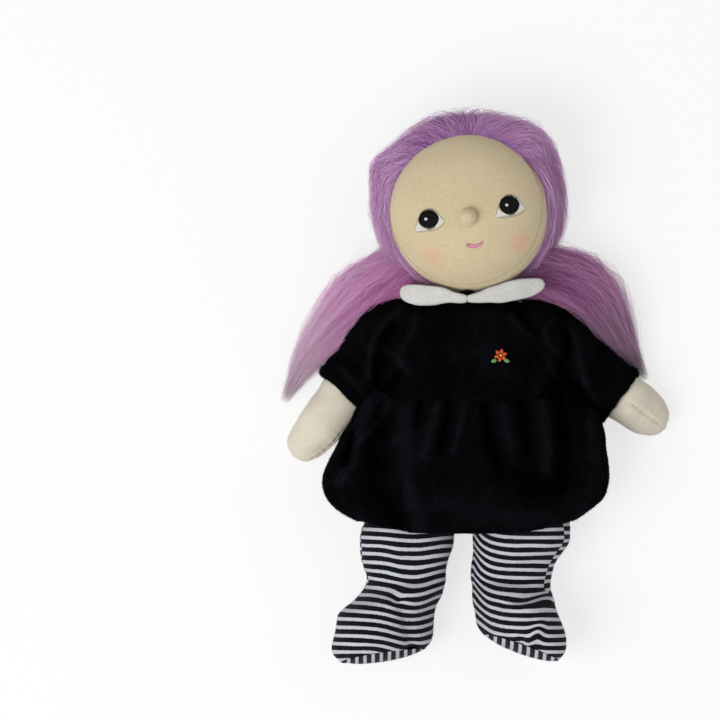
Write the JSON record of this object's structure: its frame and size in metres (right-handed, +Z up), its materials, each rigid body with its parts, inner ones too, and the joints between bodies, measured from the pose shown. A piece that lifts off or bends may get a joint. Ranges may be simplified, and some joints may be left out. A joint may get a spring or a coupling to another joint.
{
  "type": "cloth doll",
  "caption": "Stuffed cloth doll with an embroidered face, pile-fabric pigtails, a dark velvet dress with a fleece collar, and striped knit legs that swing at sewn hips.",
  "frame": {"origin": "middle of the doll's box on the floor that it lies on", "axes": "+Z up out of the doll's front, +Y from the feet to the head, +X to the doll's left side"},
  "size_m": [0.163, 0.2294, 0.0628],
  "materials": {
    "skin": "matt velour",
    "filling": "loose fibre",
    "velvet": "deep pile, soft sheen",
    "fleece": "fuzzy",
    "pile": "long silky pile",
    "knit": "fine striped knit",
    "black_thread": "satin stitch",
    "white_thread": "satin stitch",
    "pink_thread": "satin stitch",
    "motif_thread": "satin stitch",
    "elastic": "woven elastic"
  },
  "bodies": {
    "torso": {"torso_cover": "skin", "torso_stuffing": "filling", "dress_bodice": "velvet", "dress_skirt": "velvet", "collar_left": "fleece", "collar_right": "fleece", "neck_binding": "velvet", "chest_motif": "motif_thread"},
    "neck": {"neck_cover": "skin", "neck_stuffing": "filling"},
    "head": {"face_panel": "skin", "head_back_panel": "skin", "head_stuffing": "filling", "nose": "skin", "eye_white_left": "white_thread", "eye_white_right": "white_thread", "eye_iris_left": "black_thread", "eye_iris_right": "black_thread", "mouth_stitch": "pink_thread", "hair_cap": "pile"},
    "pigtail_left": {"pigtail_left": "pile", "hair_tie_left": "elastic"},
    "pigtail_right": {"pigtail_right": "pile", "hair_tie_right": "elastic"},
    "arm_left": {"arm_cover_left": "skin", "arm_stuffing_left": "filling", "sleeve_left": "velvet", "sleeve_cuff_left": "velvet"},
    "arm_right": {"arm_cover_right": "skin", "arm_stuffing_right": "filling", "sleeve_right": "velvet", "sleeve_cuff_right": "velvet"},
    "leg_left": {"leg_cover_left": "knit", "leg_stuffing_left": "filling", "sole_left": "knit"},
    "leg_right": {"leg_cover_right": "knit", "leg_stuffing_right": "filling", "sole_right": "knit"}
  },
  "joints": [
    {"name": "neck_nod", "type": "hinge", "parent": "torso", "child": "neck", "pos_m": [-0.00253, 0.03481, 0.0242], "axis": [1, 0, 0], "range_deg": [-10, 15]},
    {"name": "head_turn", "type": "hinge", "parent": "neck", "child": "head", "pos_m": [-0.00253, 0.04981, 0.0242], "axis": [0, 1, 0], "range_deg": [-15, 15]},
    {"name": "shoulder_left", "type": "hinge", "parent": "torso", "child": "arm_left", "pos_m": [0.02662, 0.02181, 0.0222], "axis": [0, -1, 0], "range_deg": [-10, 60], "deforming": ["sleeve_left"]},
    {"name": "shoulder_right", "type": "hinge", "parent": "torso", "child": "arm_right", "pos_m": [-0.03168, 0.02181, 0.0222], "axis": [0, 1, 0], "range_deg": [-10, 60], "deforming": ["sleeve_right"]},
    {"name": "hip_left", "type": "hinge", "parent": "torso", "child": "leg_left", "pos_m": [0.01247, -0.0272, 0.0222], "axis": [-1, 0, 0], "range_deg": [-20, 72], "deforming": ["dress_skirt"]},
    {"name": "hip_right", "type": "hinge", "parent": "torso", "child": "leg_right", "pos_m": [-0.01753, -0.0272, 0.0222], "axis": [-1, 0, 0], "range_deg": [-20, 72], "deforming": ["dress_skirt"]},
    {"name": "pigtail_left_swing", "type": "hinge", "parent": "head", "child": "pigtail_left", "pos_m": [0.03147, 0.0526, 0.016], "axis": [0, 0, 1], "range_deg": [0, 22]},
    {"name": "pigtail_right_swing", "type": "hinge", "parent": "head", "child": "pigtail_right", "pos_m": [-0.03653, 0.04981, 0.016], "axis": [0, 0, -1], "range_deg": [0, 28]}
  ]
}
